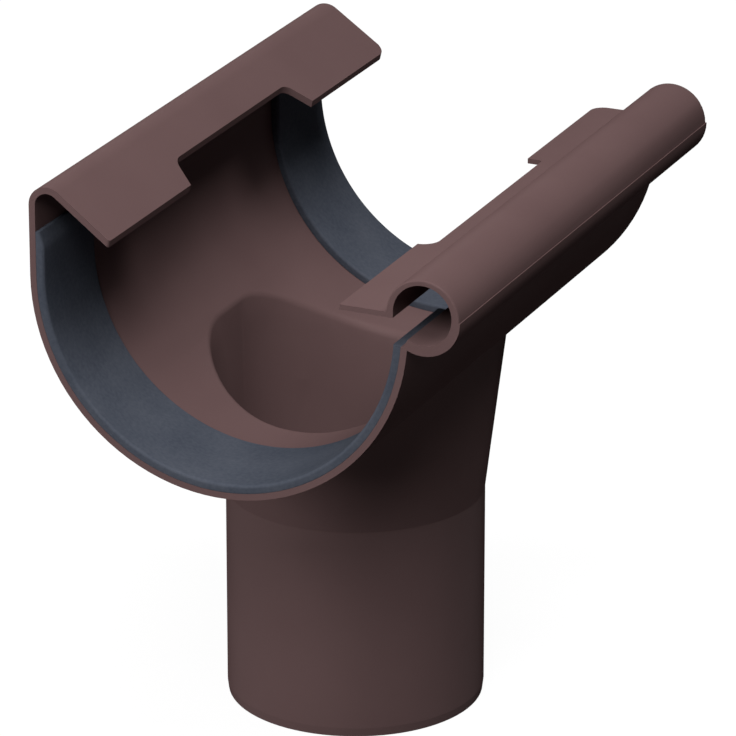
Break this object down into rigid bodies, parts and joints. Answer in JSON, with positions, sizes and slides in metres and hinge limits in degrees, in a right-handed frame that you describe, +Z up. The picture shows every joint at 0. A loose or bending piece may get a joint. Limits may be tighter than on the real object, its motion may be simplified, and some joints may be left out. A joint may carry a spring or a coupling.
{
  "type": "gutter outlet",
  "caption": "Half-round gutter outlet: trough with rubber seals at both ends, folded back lip, round front bead, and a flared funnel into a round spout.",
  "frame": {"origin": "centre of the spout's lower rim, which the part stands on", "axes": "+Y along the trough, +X towards the round front bead, +Z up along the spout"},
  "size_m": [0.1534, 0.2197, 0.2108],
  "materials": {
    "brown_plastic": "satin",
    "rubber_seal": "matte"
  },
  "bodies": {
    "root": {"body": "brown_plastic", "seal_left": "rubber_seal", "seal_right": "rubber_seal"}
  },
  "joints": []
}
